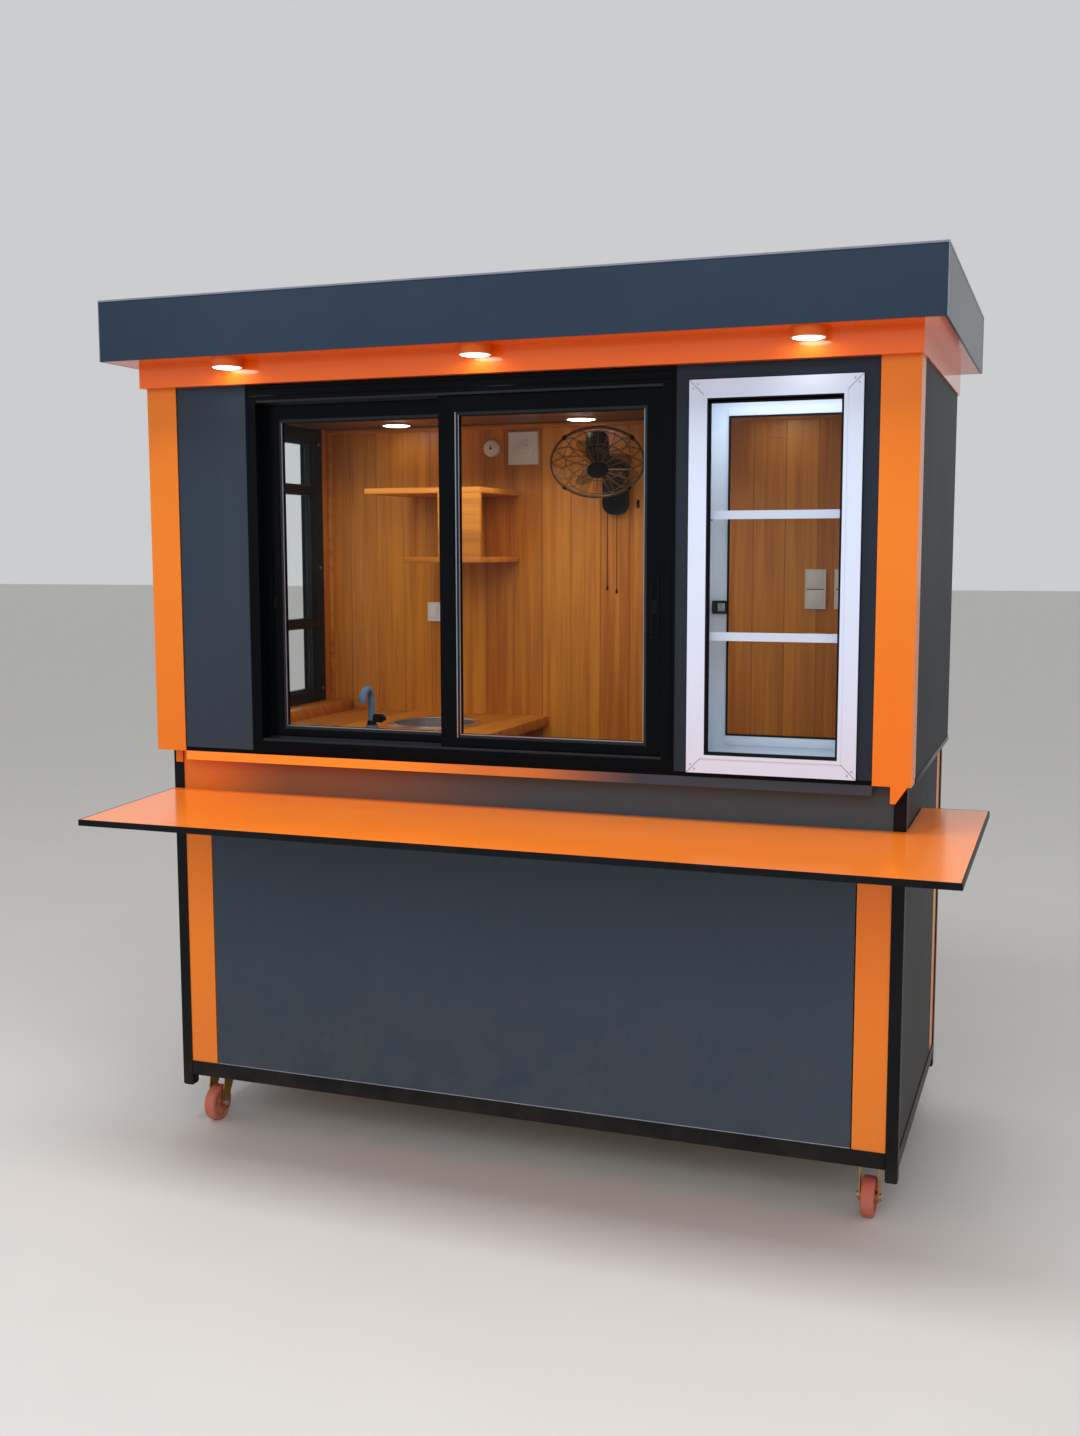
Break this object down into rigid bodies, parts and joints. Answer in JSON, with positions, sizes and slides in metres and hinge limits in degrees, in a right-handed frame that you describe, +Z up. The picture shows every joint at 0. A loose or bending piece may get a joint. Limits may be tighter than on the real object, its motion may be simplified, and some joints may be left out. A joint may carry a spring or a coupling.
{
  "type": "street kiosk",
  "caption": "Street kiosk on casters: panelled base, serving counter in front, sliding service window, glazed display case, wood-lined room with sink and wall fan, boxed flat roof.",
  "frame": {"origin": "bottom centre of the whole kiosk's box, on the ground", "axes": "+Z up; the serving side faces -Y; +X to the right of someone facing the serving side"},
  "size_m": [2.242, 1.457, 2.28],
  "materials": {
    "frame_paint": "gloss",
    "grey_panel": "gloss",
    "orange_panel": "gloss",
    "white_frame": "satin",
    "clear_glass": "clear",
    "wood_lining": "satin",
    "floor_wood": "matte",
    "light_lens": "glowing",
    "stainless_steel": "brushed",
    "tap_plastic": "gloss",
    "white_plastic": "gloss",
    "black_plastic": "gloss",
    "black_wire": "satin",
    "yellow_zinc": "plated",
    "red_tread": "satin"
  },
  "bodies": {
    "kiosk": {"corner_posts": "frame_paint", "bottom_rails": "frame_paint", "floor_joists": "frame_paint", "floor_board": "floor_wood", "lower_front_panel": "grey_panel", "lower_side_panels": "grey_panel", "orange_strips": "orange_panel", "counter_top": "orange_panel", "counter_edge": "frame_paint", "counter_brackets": "frame_paint", "apron_panel": "grey_panel", "ledge_strip": "orange_panel", "sill_rail": "frame_paint", "pilaster_right": "orange_panel", "pilaster_left": "orange_panel", "left_front_panel": "grey_panel", "display_surround": "grey_panel", "window_frame": "frame_paint", "window_sash_right": "frame_paint", "window_sash_left": "frame_paint", "window_glass": "clear_glass", "display_frame": "white_frame", "display_case": "white_frame", "display_glass": "clear_glass", "display_shelves": "clear_glass", "shelf_bars": "white_frame", "left_wall": "grey_panel", "right_wall": "grey_panel", "side_window_frame": "frame_paint", "side_window_glass": "clear_glass", "back_wall": "grey_panel", "door_frame": "frame_paint", "entrance_door": "grey_panel", "lining_back": "wood_lining", "lining_sides": "wood_lining", "lining_front": "wood_lining", "door_lining": "wood_lining", "ceiling_board": "wood_lining", "header_band": "orange_panel", "soffit": "orange_panel", "roof_fascia": "grey_panel", "roof_deck": "grey_panel", "led_lights": "light_lens", "worktop": "wood_lining", "sink": "stainless_steel", "tap": "tap_plastic", "wall_shelf": "wood_lining", "wall_plates": "white_plastic", "fan_mount": "black_plastic", "fan_guard": "black_wire", "caster_plates": "yellow_zinc"},
    "fan_rotor": {"fan_blades": "black_plastic"},
    "swivel_front_left": {"fork_front_left": "yellow_zinc"},
    "roller_front_left": {"wheel_front_left": "red_tread"},
    "swivel_front_right": {"fork_front_right": "yellow_zinc"},
    "roller_front_right": {"wheel_front_right": "red_tread"},
    "swivel_back_left": {"fork_back_left": "yellow_zinc"},
    "roller_back_left": {"wheel_back_left": "red_tread"},
    "swivel_back_right": {"fork_back_right": "yellow_zinc"},
    "roller_back_right": {"wheel_back_right": "red_tread"}
  },
  "joints": [
    {"name": "fan_spin", "type": "hinge", "parent": "kiosk", "child": "fan_rotor", "pos_m": [-0.012, 0.4225, 1.882], "axis": [0.2262, -0.6568, -0.7193], "continuous": true},
    {"name": "swivel_front_left", "type": "hinge", "parent": "kiosk", "child": "swivel_front_left", "pos_m": [-0.972, -0.1285, 0.128], "axis": [0, 0, 1], "continuous": true},
    {"name": "roll_front_left", "type": "hinge", "parent": "swivel_front_left", "child": "roller_front_left", "pos_m": [-0.972, -0.1585, 0.05], "axis": [1, 0, 0], "continuous": true},
    {"name": "swivel_front_right", "type": "hinge", "parent": "kiosk", "child": "swivel_front_right", "pos_m": [0.882, -0.1285, 0.128], "axis": [0, 0, 1], "continuous": true},
    {"name": "roll_front_right", "type": "hinge", "parent": "swivel_front_right", "child": "roller_front_right", "pos_m": [0.882, -0.1585, 0.05], "axis": [1, 0, 0], "continuous": true},
    {"name": "swivel_back_left", "type": "hinge", "parent": "kiosk", "child": "swivel_back_left", "pos_m": [-0.972, 0.5935, 0.128], "axis": [0, 0, 1], "continuous": true},
    {"name": "roll_back_left", "type": "hinge", "parent": "swivel_back_left", "child": "roller_back_left", "pos_m": [-0.972, 0.5635, 0.05], "axis": [1, 0, 0], "continuous": true},
    {"name": "swivel_back_right", "type": "hinge", "parent": "kiosk", "child": "swivel_back_right", "pos_m": [0.882, 0.5935, 0.128], "axis": [0, 0, 1], "continuous": true},
    {"name": "roll_back_right", "type": "hinge", "parent": "swivel_back_right", "child": "roller_back_right", "pos_m": [0.882, 0.5635, 0.05], "axis": [1, 0, 0], "continuous": true}
  ]
}
